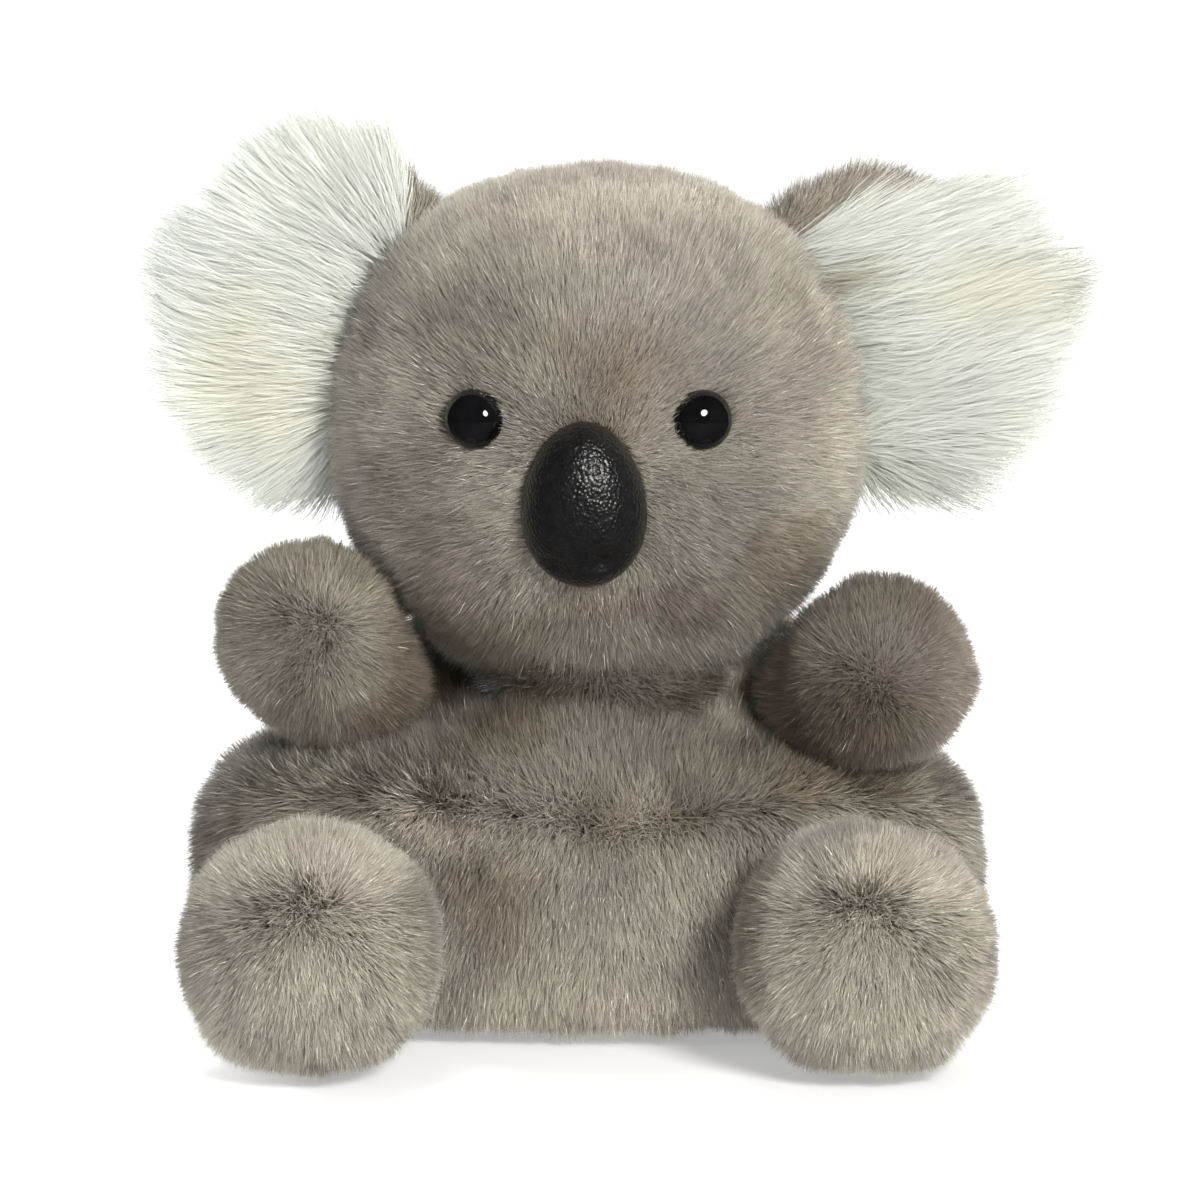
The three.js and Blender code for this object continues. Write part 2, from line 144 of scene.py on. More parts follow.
def blob(low, high, plan_power, rise_power, taper=0.0):
    """A rounded box between two corners: the higher its powers are, the squarer it is."""
    centre, radii = (low + high) / 2, (high - low) / 2

    def depth(points, shrink):
        across = (points - centre) / (radii - shrink)
        narrow = 1 - taper * across[:, 2]
        plan = np.abs(across[:, 0] / narrow) ** plan_power + np.abs(across[:, 1] / narrow) ** plan_power
        size = plan ** (rise_power / plan_power) + np.abs(across[:, 2]) ** rise_power
        size = np.maximum(size, 1e-9) ** (1 / rise_power)
        return np.linalg.norm(points - centre, axis=1) * (1 - 1 / size)

    return depth


def ball(centre, radius):
    return lambda points, shrink: np.linalg.norm(points - centre, axis=1) - radius + shrink


def stub(root, end, root_radius, end_radius):
    """A limb that swells from its root ball to its end ball."""
    axis = end - root
    span = np.linalg.norm(axis)
    flare = (root_radius - end_radius) / span

    def depth(points, shrink):
        along = (points - root) @ axis / span
        off = np.linalg.norm(points - root - along[:, None] * axis / span, axis=1)
        share = np.clip((along - off * flare / math.sqrt(1 - flare**2)) / span, 0, 1)
        gap = np.linalg.norm(points - root - share[:, None] * axis, axis=1)
        return gap - root_radius - share * (end_radius - root_radius) + shrink

    return depth


def joined(a, b, soft):
    """Both forms as one, with a soft crease where they meet."""

    def depth(points, shrink):
        first, second = a(points, shrink), b(points, shrink)
        mix = np.clip(0.5 + (second - first) / (2 * soft), 0, 1)
        return second + (first - second) * mix - soft * mix * (1 - mix)

    return depth


def cut(a, b, soft):
    """The first form less the second."""

    def depth(points, shrink):
        first, second = a(points, shrink), -b(points)
        mix = np.clip(0.5 - (second - first) / (2 * soft), 0, 1)
        return second + (first - second) * mix + soft * mix * (1 - mix)

    return depth


def above_floor(form):
    return lambda points, shrink: np.maximum(form(points, shrink), shrink * 0.5 - points[:, 2])


def star_surface(form, shrink, centre, reach):
    """A closed mesh where the form is first left on the way out from its centre."""
    mesh = bmesh.new()
    bmesh.ops.create_icosphere(mesh, subdivisions=SURFACE_LEVELS, radius=1)
    out = unit(np.array([v.co for v in mesh.verts]))
    steps = reach * np.linspace(0.01, 1, SEARCH_STEPS)
    inside = np.array([form(centre + out * step, shrink) < 0 for step in steps])
    last = np.argmin(inside, axis=0)
    low, high = steps[last - 1], steps[last]
    for _ in range(SEARCH_HALVINGS):
        middle = (low + high) / 2
        within = form(centre + out * middle[:, None], shrink) < 0
        low, high = np.where(within, middle, low), np.where(within, high, middle)
    places = centre + out * low[:, None]
    for vertex, place in zip(mesh.verts, places):
        vertex.co = place
    return mesh


# The pieces of cloth


def panel(surface, planes, rest=False):
    """The part of a closed surface on the near side of every plane, or else the rest of it."""
    mesh = surface.copy()
    for point, direction in planes:
        everything = mesh.verts[:] + mesh.edges[:] + mesh.faces[:]
        bmesh.ops.bisect_plane(mesh, geom=everything, plane_co=point, plane_no=direction)
    middles = np.array([f.calc_center_median() for f in mesh.faces])
    beyond = np.zeros(len(middles), bool)
    for point, direction in planes:
        beyond |= (middles - np.array(point)) @ np.array(direction) > 0
    dropped = [face for face, out in zip(mesh.faces, beyond != rest) if out]
    bmesh.ops.delete(mesh, geom=dropped, context="FACES")
    bmesh.ops.triangulate(mesh, faces=mesh.faces[:])
    mesh.normal_update()
    return mesh


def surface_arrays(mesh):
    mesh.verts.index_update()
    points = np.array([v.co for v in mesh.verts])
    normals = np.array([v.normal for v in mesh.verts])
    corners = np.array([[v.index for v in f.verts] for f in mesh.faces])
    return points, normals, corners


def scattered(mesh, density, rng):
    """Roots spread evenly over a panel, with the panel's direction at each."""
    points, normals, corners = surface_arrays(mesh)
    a, b, c = points[corners[:, 0]], points[corners[:, 1]], points[corners[:, 2]]
    areas = np.linalg.norm(np.cross(b - a, c - a), axis=1) / 2
    count = int(density * areas.sum() / MM**2)
    face = rng.choice(len(areas), count, p=areas / areas.sum())
    u, v = rng.random((2, count, 1))
    u, v = np.where(u + v > 1, 1 - u, u), np.where(u + v > 1, 1 - v, v)
    weights = [1 - u - v, u, v]
    roots = sum(w * points[corners[face, k]] for k, w in enumerate(weights))
    directions = unit(sum(w * normals[corners[face, k]] for k, w in enumerate(weights)))
    return roots, directions


# Pile. Each strand is a narrow ribbon that tapers to a point.


def spines(roots, normals, comb, look, rng):
    """The middle line of every strand, row by row."""
    count, rows = len(roots), look["rows"]
    flow = comb(roots) + smooth_noise(roots, look["swirl_size"], field=1) * look["swirl"]
    flow = flow + rng.normal(0, look["stray"], (count, 3))
    flow = flow - dot(flow, normals) * normals
    laid = np.minimum(np.linalg.norm(flow, axis=1, keepdims=True), 1)
    flow = unit(flow)
    length = look["length"] * rng.uniform(1 - look["uneven"], 1 + look["uneven"], (count, 1))
    length *= 1 + look["lock"] * smooth_noise(roots, look["lock_size"], field=2)[:, :1]
    if "length_share" in look:
        length *= look["length_share"](roots)[:, None]
    stray = rng.normal(0, look["lean_stray"], (count, 1))
    wave = smooth_noise(roots, look["tuft_size"] * 0.4, field=5)
    place = roots.copy()
    line = [place]
    for row in range(rows):
        share = (row + 0.5) / rows
        lean = look["lean_root"] + (look["lean_tip"] - look["lean_root"]) * share
        lean = lean * (LEAST_LEAN + (1 - LEAST_LEAN) * laid) + stray
        heading = np.cos(lean) * normals + np.sin(lean) * flow
        heading = unit(heading + look["curl"] * math.sin(share * math.pi) * wave)
        place = place + heading * length / rows
        line.append(place)
    line = np.stack(line, axis=1)
    share = (np.arange(rows + 1) / rows)[None, :, None]
    tuft = smooth_noise(roots, look["tuft_size"], field=3)
    tuft = tuft + 0.6 * smooth_noise(roots, look["tuft_size"] * 2.3, field=4)
    line += look["tuft"] * tuft[:, None, :] * share**1.5
    line[..., 2] = np.maximum(line[..., 2], FLOOR_ROOM)
    return line


def strands(roots, normals, comb, look, dye_and_shading, rng):
    """The mesh arrays of a panel's pile."""
    line = spines(roots, normals, comb, look, rng)
    count, rows = len(roots), look["rows"]
    own = rng.random((count, 1))
    skin = unit(normals + look["turned"])
    heading = unit(line[:, -1] - line[:, 0])
    broad = unit(np.cross(heading, skin + rng.normal(0, 0.05, (count, 3))))
    twist = rng.uniform(-look["twist"], look["twist"], (count, 1))
    broad = np.cos(twist) * broad + np.sin(twist) * np.cross(heading, broad)
    facing = np.cross(broad, heading)
    soft = np.where(own > GLINTS, GLINT_SOFT, look["soft"])
    facing = unit(soft * skin + (1 - soft) * facing + rng.normal(0, 0.08, (count, 3)))
    share = np.arange(rows + 1)[None, :, None] / rows
    width = look["width"] * rng.uniform(0.7, 1.3, (count, 1, 1)) * (1 - share ** look["taper"])
    width = width * np.where(own > GLINTS, GLINT_WIDTH, 1)[:, None]
    half = width * broad[:, None, :] / 2
    edges = np.stack([line - half, line + half], axis=2)
    body = edges[:, :rows].reshape(count, rows * 2, 3)
    points = np.concatenate([body, line[:, rows:]], axis=1)
    each = rows * 2 + 1
    quads = [[2 * r, 2 * r + 1, 2 * r + 3, 2 * r + 2] for r in range(rows - 1)]
    loops = np.array(sum(quads, []) + [2 * rows - 2, 2 * rows - 1, 2 * rows])
    along = np.append(np.repeat(np.arange(rows) / rows, 2), 1.0)
    bake, maps = strand_maps(count, rows, along, own)
    return {
        "points": points.reshape(-1, 3),
        "normals": np.repeat(facing, each, axis=0),
        "dye_and_shading": np.repeat(dye_and_shading(roots), each, axis=0),
        "loops": (loops[None, :] + each * np.arange(count)[:, None]).ravel(),
        "sizes": np.tile(np.array([4] * (rows - 1) + [3]), count),
        "bake": bake[:, loops].reshape(-1, 2),
        "own": maps[:, loops].reshape(-1, 2),
        "slot": 1,
    }


def strand_maps(count, rows, along, own):
    """For each point, a place to bake to, and a place made of the strand's number and the share along it."""
    side = np.append(np.tile([0.1, 0.9], rows), 0.5)
    columns = math.ceil(math.sqrt(4 * count))
    lines = math.ceil(count / columns)
    cell = np.arange(count)[:, None]
    across = (cell % columns + side[None, :]) / columns
    up = BACKING_STRIP + (1 - BACKING_STRIP) * (cell // columns + 0.06 + 0.88 * along[None, :]) / lines
    maps = np.stack([np.repeat(own, len(along), axis=1), np.repeat(along[None, :], count, axis=0)], axis=2)
    return np.stack([across, up], axis=2), maps


def backing(mesh):
    """The mesh arrays of the backing cloth, given its thickness."""
    solid = mesh.copy()
    bmesh.ops.solidify(solid, geom=solid.faces[:], thickness=BACKING_THICKNESS)
    bmesh.ops.triangulate(solid, faces=solid.faces[:])
    points, normals, corners = surface_arrays(solid)
    solid.free()
    low, high = points.min(axis=0), points.max(axis=0)
    share = (points - low) / (high - low)
    loops = corners.ravel()
    return {
        "points": points,
        "normals": normals,
        "dye_and_shading": np.ones((len(points), 3)),
        "loops": loops,
        "sizes": np.full(len(corners), 3),
        "bake": np.stack([share[loops, 0], share[loops, 2] * BACKING_STRIP * 0.9], axis=1),
        "own": np.zeros((len(loops), 2)),
        "slot": 0,
    }


def mesh_object(name, parts, materials):
    """One object of several arrays of points and faces."""
    starts = np.cumsum([0] + [len(part["points"]) for part in parts])
    points = np.concatenate([part["points"] for part in parts])
    loops = np.concatenate([part["loops"] + start for part, start in zip(parts, starts)])
    sizes = np.concatenate([part["sizes"] for part in parts])
    slots = np.concatenate([np.full(len(part["sizes"]), part["slot"]) for part in parts])
    mesh = bpy.data.meshes.new(name)
    mesh.vertices.add(len(points))
    mesh.vertices.foreach_set("co", points.astype(np.float32).ravel())
    mesh.loops.add(len(loops))
    mesh.loops.foreach_set("vertex_index", loops.astype(np.int32))
    mesh.polygons.add(len(sizes))
    mesh.polygons.foreach_set("loop_start", (np.cumsum(sizes) - sizes).astype(np.int32))
    mesh.polygons.foreach_set("material_index", slots.astype(np.int32))
    for label, key in (("Strand", "own"), ("OFBake", "bake")):
        layer = mesh.uv_layers.new(name=label)
        places = np.concatenate([part[key] for part in parts])
        layer.uv.foreach_set("vector", places.astype(np.float32).ravel())
    # Per point: the dye, and painted light and shade.
    dye_and_shading = mesh.attributes.new("DyeAndShading", "FLOAT_COLOR", "POINT")
    colours = np.concatenate([part["dye_and_shading"] for part in parts])
    dye_and_shading.data.foreach_set("color", np.c_[colours, np.ones(len(points))].astype(np.float32).ravel())
    mesh.update(calc_edges=True)
    mesh.normals_split_custom_set_from_vertices(np.concatenate([part["normals"] for part in parts]))
    for material in materials:
        mesh.materials.append(material)
    made = bpy.data.objects.new(name, mesh)
    bpy.context.scene.collection.objects.link(made)
    return made


# Materials

BLACK = (0, 0, 0)
FULL = (1, 1, 1)
SHARP = 0.01  # the width of a step from one colour to the next


def new_material(name):
    material = bpy.data.materials.new(name)
    material.use_nodes = True
    nodes = material.node_tree.nodes
    return material, nodes, material.node_tree.links, nodes["Principled BSDF"]


def colour_ramp(nodes, stops):
    made = nodes.new("ShaderNodeValToRGB")
    while len(made.color_ramp.elements) < len(stops):
        made.color_ramp.elements.new(0.5)
    for element, (place, colour) in zip(made.color_ramp.elements, stops):
        element.position = place
        element.color = (*colour, 1)
    return made


def mixed(nodes, links, kind, factor, first, second):
    """A colour mix. Each of factor, first and second is a socket or a value."""
    made = nodes.new("ShaderNodeMix")
    made.data_type = "RGBA"
    made.blend_type = kind
    for index, value in ((0, factor), (6, first), (7, second)):
        if isinstance(value, bpy.types.NodeSocket):
            links.new(value, made.inputs[index])
        else:
            made.inputs[index].default_value = value
    return made.outputs[2]


def mapped(nodes, links, value, low, high):
    made = nodes.new("ShaderNodeMapRange")
    links.new(value, made.inputs["Value"])
    made.inputs["To Min"].default_value = low
    made.inputs["To Max"].default_value = high
    return made.outputs["Result"]


def noise(nodes, links, scale, detail=2.0):
    place = nodes.new("ShaderNodeTexCoord")
    made = nodes.new("ShaderNodeTexNoise")
    made.inputs["Scale"].default_value = scale
    made.inputs["Detail"].default_value = detail
    links.new(place.outputs["Object"], made.inputs["Vector"])
    return made.outputs["Fac"]


def pile_material(name, stops, patch, patch_share, vary, roughness, sheen, glint_colour):
    """Strands that change colour from root to tip, a little different each, in patches of a second tone.

    Strands that catch the light have half the roughness, and a painted highlight: a bright speck part of the
    way up.
    """
    material, nodes, links, shader = new_material(name)
    layer = nodes.new("ShaderNodeUVMap")
    layer.uv_map = "Strand"
    parts = nodes.new("ShaderNodeSeparateXYZ")
    links.new(layer.outputs["UV"], parts.inputs[0])
    tone = colour_ramp(nodes, stops)
    links.new(parts.outputs["Y"], tone.inputs[0])
    patches = colour_ramp(nodes, [(0.42, BLACK), (0.62, (patch_share,) * 3)])
    links.new(noise(nodes, links, 75, 3), patches.inputs[0])
    colour = mixed(nodes, links, "MULTIPLY", patches.outputs[0], tone.outputs[0], (*patch, 1))
    light = mapped(nodes, links, parts.outputs["X"], 1 - vary, 1 + vary)
    shade = nodes.new("ShaderNodeCombineColor")
    for channel in ("Red", "Green", "Blue"):
        links.new(light, shade.inputs[channel])
    colour = mixed(nodes, links, "MULTIPLY", 1.0, colour, shade.outputs[0])
    # A painted highlight: a bright speck part of the way up each strand numbered above GLINTS.
    glint = colour_ramp(nodes, [(GLINTS, BLACK), (GLINTS + SHARP, (0.9, 0.9, 0.9))])
    links.new(parts.outputs["X"], glint.inputs[0])
    speck = colour_ramp(nodes, [(0.54, BLACK), (0.6, FULL), (0.7, FULL), (0.76, (0.2, 0.2, 0.2))])
    links.new(parts.outputs["Y"], speck.inputs[0])
    bright = mixed(nodes, links, "MULTIPLY", 1.0, glint.outputs[0], speck.outputs[0])
    colour = mixed(nodes, links, "MIX", bright, colour, (*glint_colour, 1))
    # The colour is multiplied by the dye, which carries painted light and shade too.
    dye_and_shading = nodes.new("ShaderNodeAttribute")
    dye_and_shading.attribute_name = "DyeAndShading"
    colour = mixed(nodes, links, "MULTIPLY", 1.0, colour, dye_and_shading.outputs["Color"])
    links.new(colour, shader.inputs["Base Color"])
    rough = colour_ramp(nodes, [(GLINTS, (roughness,) * 3), (GLINTS + SHARP, (roughness * 0.5,) * 3)])
    links.new(parts.outputs["X"], rough.inputs[0])
    links.new(rough.outputs[0], shader.inputs["Roughness"])
    shader.inputs["Specular IOR Level"].default_value = 0.35
    shader.inputs["Sheen Weight"].default_value = sheen
    shader.inputs["Sheen Roughness"].default_value = 0.4
    return material


def cloth_material(name, dark, light):
    """Knitted backing, seen only where the pile parts."""
    material, nodes, links, shader = new_material(name)
    tone = colour_ramp(nodes, [(0.35, dark), (0.7, light)])
    links.new(noise(nodes, links, 900, 3), tone.inputs[0])
    links.new(tone.outputs[0], shader.inputs["Base Color"])
    shader.inputs["Roughness"].default_value = 0.95
    return material


GREY_PILE = pile_material(
    "grey_pile",
    [
        (0.0, (0.13, 0.105, 0.08)),
        (0.35, (0.235, 0.208, 0.165)),
        (0.75, (0.36, 0.33, 0.265)),
        (1.0, (0.52, 0.49, 0.41)),
    ],
    patch=(0.80, 0.76, 0.80), patch_share=0.7, vary=0.4,
    roughness=0.5, sheen=0.25, glint_colour=(0.80, 0.78, 0.70),
)
WHITE_PILE = pile_material(
    "white_pile",
    [
        (0.0, (0.62, 0.64, 0.58)),
        (0.4, (0.69, 0.71, 0.66)),
        (1.0, (0.73, 0.75, 0.71)),
    ],
    patch=(0.97, 0.97, 0.90), patch_share=0.5, vary=0.04,
    roughness=0.6, sheen=0.1, glint_colour=(0.78, 0.80, 0.76),
)
GREY = [cloth_material("grey_backing", (0.085, 0.06, 0.045), (0.15, 0.12, 0.09)), GREY_PILE]
WHITE = [cloth_material("white_backing", (0.62, 0.64, 0.6), (0.72, 0.74, 0.7)), WHITE_PILE]

# Looks of pile. The sizes are of noise that gathers strands into locks, swirls and tufts, and a strand leans
# from its root to its tip by these angles. What is turned adds to the skin's direction, as light meets it.
SHORT_PILE = {
    "rows": 1, "length": 3.9 * MM, "width": 0.17 * MM, "uneven": 0.25, "lock": 0.12, "lock_size": 3 * MM,
    "lean_root": math.radians(40), "lean_tip": math.radians(40), "lean_stray": 0.16,
    "swirl": 0.42, "swirl_size": 7 * MM, "stray": 0.25, "tuft": 0.55 * MM, "tuft_size": 1.7 * MM,
    "curl": 0, "twist": 1.0, "taper": 1.0, "soft": 0.8, "turned": np.zeros(3),
}
LONG_PILE = {
    "rows": 3, "length": 9.5 * MM, "width": 0.09 * MM, "uneven": 0.42, "lock": 0.25, "lock_size": 5 * MM,
    "lean_root": math.radians(34), "lean_tip": math.radians(80), "lean_stray": 0.16,
    "swirl": 0.3, "swirl_size": 9 * MM, "stray": 0.15, "tuft": 0.35 * MM, "tuft_size": 3.6 * MM,
    "curl": 0.2, "twist": 1.2, "taper": 2.6, "soft": 0.94,
}


# No dye, and no painted light or shade.
def undyed_unshaded(places):
    return np.ones((len(places), 3))


def plush(name, body, node, surface, planes, comb, look, density, seed,
          cloths=GREY, skip=None, dye_and_shading=undyed_unshaded, rest=False):
    """A panel of plush for a CAD node: backing cloth, and pile of this density in strands per square mm."""
    rng = np.random.default_rng(seed)
    cloth = panel(surface, planes, rest)
    roots, normals = scattered(cloth, density, rng)
    if skip is not None:
        kept = ~skip(roots)
        roots, normals = roots[kept], normals[kept]
    pile = strands(roots, normals, comb, look, dye_and_shading, rng)
    made = mesh_object(name, [backing(cloth), pile], cloths)
    cloth.free()
    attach(made, body)
    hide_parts(node)


# Places from the frame

JOINTS = {joint["name"]: joint for joint in frame["joints"]}


def pivot(joint):
    return np.array(JOINTS[joint]["pos_m"])


def mm(*numbers):
    return np.array(numbers) * MM


HEAD_LOW, HEAD_HIGH = node_box("face_panel_left", "face_panel_right", "head_back_panel")
HEAD_LOW[2] = HEAD_HIGH[2] - HEAD_HEIGHT
HEAD_CENTRE = (HEAD_LOW + HEAD_HIGH) / 2
LAP_LOW, LAP_HIGH = node_box("belly_panel", "back_panel", "base_panel")
LAP_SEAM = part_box("belly_panel")[1][2] + SEAM_HALF
LAP_HIGH[2] = LAP_SEAM + SEAM_LAP_DROP
BACK_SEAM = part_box("belly_panel")[1][1] + SEAM_HALF
BASE_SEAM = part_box("base_panel")[1][2] + SEAM_HALF
HEAD_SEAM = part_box("face_panel_left")[1][1] + SEAM_HALF
FACE_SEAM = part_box("face_panel_left")[1][0] + SEAM_HALF

head_form = blob(HEAD_LOW, HEAD_HIGH, plan_power=2.1, rise_power=2.2)
lap_form = blob(LAP_LOW - mm(0, 0, 0.5), LAP_HIGH, plan_power=2.6, rise_power=3.9)
chest_form = blob(mm(-30, -15, 4), mm(30, 25, 44.5), plan_power=2.3, rise_power=4, taper=0.04)
tummy_form = blob(mm(-20, -18.5, 24), mm(14, -1, 43.5), plan_power=2.2, rise_power=2.6)
slope_form = blob(mm(-30, -1, 24), mm(34, 23, 56), plan_power=2.2, rise_power=2.3)
shoulder_form = cut(slope_form, lambda points: head_form(points, -SHOULDER_ROOM), soft=2 * MM)
trunk_form = joined(lap_form, chest_form, soft=3 * MM)
trunk_form = joined(trunk_form, tummy_form, soft=6 * MM)
trunk_form = joined(trunk_form, shoulder_form, soft=8 * MM)
body_form = above_floor(trunk_form)


def limb_ends(side, kind):
    """The middles of a limb's root ball and end ball."""
    sign = SIDES[side]
    if kind == "arm":
        root, radius = pivot(f"arm_{side}_swing"), PAW_RADIUS
        low, high = node_box(f"arm_front_panel_{side}")
        height = high[2] - radius
    else:
        root, radius = pivot(f"leg_{side}_lift"), FOOT_RADIUS
        low, high = node_box(f"leg_top_panel_{side}", f"leg_sole_panel_{side}")
        height = radius - STANDING_CUT
    across = low[0] + radius if sign == LEFT else high[0] - radius
    return root, np.array([across, low[1] + radius, height])


def limb_form(side, kind):
    """A limb that gives way to the body and the head, but not inside its own root ball."""
    root, end = limb_ends(side, kind)
    root_radius = SHOULDER_RADIUS if kind == "arm" else HIP_RADIUS
    whole = stub(root, end, root_radius, PAW_RADIUS if kind == "arm" else FOOT_RADIUS)
    kept = ball(root, root_radius)

    def crowd(points):
        near = body_form(points, -CROWD_ROOM)
        if kind == "arm":
            near = np.minimum(near, head_form(points, -CROWD_ROOM))
        return np.maximum(near, -kept(points, 0))

    return above_floor(cut(whole, crowd, soft=1.5 * MM))


def from_line(places, start, end, reach):
    """Away from the nearest point of a line, and more upright within reach of it."""
    along = end - start
    share = np.clip((places - start) @ along / (along @ along), 0, 1)
    gap = places - start - share[:, None] * along
    return unit(gap) * ramp(np.linalg.norm(gap, axis=1, keepdims=True), 0, reach)


def dyed_and_shaded(*patches, base=(1, 1, 1)):
    """A function that gives, at places, the colour of the dye and of painted light and shade. A patch is a
    middle and a reach in mm, and a tint.
    """

    def dye_and_shading(places):
        rough = smooth_noise(places, 6 * MM, field=6)[:, 0] * 0.35
        wide = 0.10 * smooth_noise(places, 11 * MM, field=8)[:, :1]
        fine = 0.07 * smooth_noise(places, 4 * MM, field=9)[:, :1]
        colour = np.array(base) * (1 + (wide + fine))
        for middle, reach, tint in patches:
            gap = np.linalg.norm((places - mm(*middle)) / mm(*reach), axis=1) + rough
            amount = 1 - ramp(gap, 0.45, 1.15)[:, None]
            colour *= 1 + (np.array(tint) - 1) * amount
        return colour

    return dye_and_shading


# Tints that the dye and the painted light and shade are multiplied by. Mauve, peach and cream are tones of
# the cloth; brown, dim and pale make a patch browner, darker and lighter, and the lists mark where that is
# painted shade.
MAUVE = (0.77, 0.72, 0.73)
BROWN = (0.74, 0.69, 0.63)
# Painted deep shade, for gaps and under the chin; on the right paw partly dark dye as well.
PAINTED_DEEP_SHADE = (0.45, 0.40, 0.36)
PEACH = (1.04, 0.96, 0.86)
# Painted shade.
PAINTED_SHADE = (0.52, 0.51, 0.50)
DIM = (0.78, 0.77, 0.76)
# Painted light.
PAINTED_LIGHT = (1.34, 1.34, 1.34)
PALE = (1.13, 1.14, 1.15)
# Painted light, for the side of a paw that faces the key lamp.
PAINTED_SIDE_LIGHT = (1.45, 1.45, 1.45)
CREAM = (1.02, 0.98, 0.92)


# Head

NOSE_LOW, NOSE_HIGH = node_box("nose")
NOSE_PLACE = (NOSE_LOW + NOSE_HIGH) / 2
EYE_PLACES = [sum(node_box(f"eye_{side}")) / 2 for side in SIDES]


def comb_head(places):
    """Away from the nose, up on the forehead, back over the crown, aside at its seam, and down behind."""
    aside, behind, height = places[:, :1] - FACE_SEAM, places[:, 1:2], places[:, 2:3]
    half = mm(0, 0, 5)
    flow = from_line(places, NOSE_PLACE - half, NOSE_PLACE + half, 4 * MM)
    before = 1 - ramp(behind, -6 * MM, 6 * MM)
    flow = flow + np.array([0, 0, 0.7]) * ramp(height, 78 * MM, 95 * MM) * before
    flow = flow + np.array([0, 0.7, 0]) * ramp(height, 84 * MM, 104 * MM) * (1 - before)
    crown = ramp(height, 88 * MM, 100 * MM)
    flow = flow + np.array([0.22, 0, 0]) * np.sign(aside) * np.exp(-((aside / (1.2 * MM)) ** 2)) * crown
    return flow + np.array([0, 0, -0.9]) * ramp(behind, 8 * MM, 26 * MM)


def head_length(places):
    """Shorter pile around the nose and the eyes and on the crown, and longer under the chin."""
    share = 0.5 + 0.5 * ramp(np.linalg.norm((places - NOSE_PLACE) * [1, 0.6, 0.75], axis=1), 7 * MM, 16 * MM)
    for eye in EYE_PLACES:
        share *= 0.6 + 0.4 * ramp(np.linalg.norm(places - eye, axis=1), 3.5 * MM, 8.5 * MM)
    share *= 1 - 0.25 * ramp(places[:, 2], 100 * MM, 109 * MM)
    return share * (1 + 0.5 * (1 - ramp(places[:, 2], 49 * MM, 55 * MM)))


def head_seats(places):
    """The places that the eyes and the nose cover."""
    across = (places - NOSE_PLACE) / ((NOSE_HIGH - NOSE_LOW) / 2)
    front = places[:, 1] < HEAD_CENTRE[1]
    hidden = front & (across[:, 0] ** 2 + across[:, 2] ** 2 < NOSE_SEAT)
    for eye in EYE_PLACES:
        gap = places - eye
        hidden |= front & (np.hypot(gap[:, 0], gap[:, 2]) < EYE_SEAT)
    return hidden


# Dye and painted light and shade of the face, which is darker overall than the back of the head. The mauve
# patches are dye; the brown and dim patches that are not marked make the face browner and darker.
HEAD_DYE_AND_SHADING = dyed_and_shaded(
    ((3, -25, 87), (10, 8, 9), BROWN),
    ((-20, -20, 62), (13, 10, 8), MAUVE),
    ((12, -20, 56), (12, 10, 7), MAUVE),
    ((-16, -14, 54), (12, 12, 6), BROWN),
    ((24, -14, 62), (9, 12, 8), BROWN),
    # painted light on the right side, toward the key lamp, and on the crown, under the top lamp
    ((33, -4, 84), (9, 16, 16), PAINTED_LIGHT),
    ((1, 4, 108), (34, 36, 14), PAINTED_LIGHT),
    ((15, -22, 87), (9, 10, 11), DIM),
    ((-14, -22, 91), (10, 10, 8), DIM),
    ((-22, -18, 73), (11, 12, 9), DIM),
    ((14, -22, 71), (12, 10, 10), DIM),
    # painted shade beside and under the nose
    ((6, -27, 62), (6, 8, 8), DIM),
    ((1, -24, 59), (12, 8, 5), BROWN),
    ((-20, -12, 56), (10, 12, 9), DIM),
    ((14, -18, 60), (10, 10, 6), DIM),
    # painted shade under the chin
    ((2, -16, 52), (24, 16, 8), DIM),
    base=(0.80, 0.80, 0.81),
)


def make_head():
    surface = star_surface(head_form, BACKING_DEPTH, HEAD_CENTRE, 80 * MM)
    look = {**SHORT_PILE, "length_share": head_length}
    front = ((0, HEAD_SEAM, 0), (0, 1, 0))
    rear = ((0, HEAD_SEAM, 0), (0, -1, 0))
    for side, sign in SIDES.items():
        half = ((FACE_SEAM, 0, 0), (-sign, 0, 0))
        plush(f"face_plush_{side}", "head", f"face_panel_{side}", surface, [front, half],
              comb_head, look, density=44, seed=20 + sign, skip=head_seats, dye_and_shading=HEAD_DYE_AND_SHADING)
    plush("head_back_plush", "head", "head_back_panel", surface, [rear],
          comb_head, SHORT_PILE, density=28, seed=30)
    surface.free()


# Body


def comb_body(places):
    """Down below the lap's seam and behind, up above it, and upright along it. It sags in the middle."""
    wander = smooth_noise(places * [1, 0, 0], 8 * MM, field=7)[:, :1] * 1.3 * MM
    sag = 4 * MM * np.exp(-(((places[:, :1] - 5 * MM) / (13 * MM)) ** 2))
    over = places[:, 2:3] - LAP_SEAM - wander + sag
    front = 1 - ramp(places[:, 1:2], 4 * MM, 12 * MM)
    up = np.array([0, 0.35, 1.0]) * ramp(over, 0, 5 * MM)
    down = np.array([0, -0.05, -1.0]) * ramp(-over, 0, 5 * MM)
    outward = np.concatenate([places[:, :1] * 7, np.zeros((len(places), 2))], axis=1)
    return (up + down) * front + np.array([0, 0.7, -1.0]) * (1 - front) + outward


def body_length(places):
    """Pressed flat under the seat."""
    return 0.3 + 0.7 * ramp(places[:, 2], 2 * MM, 6 * MM)


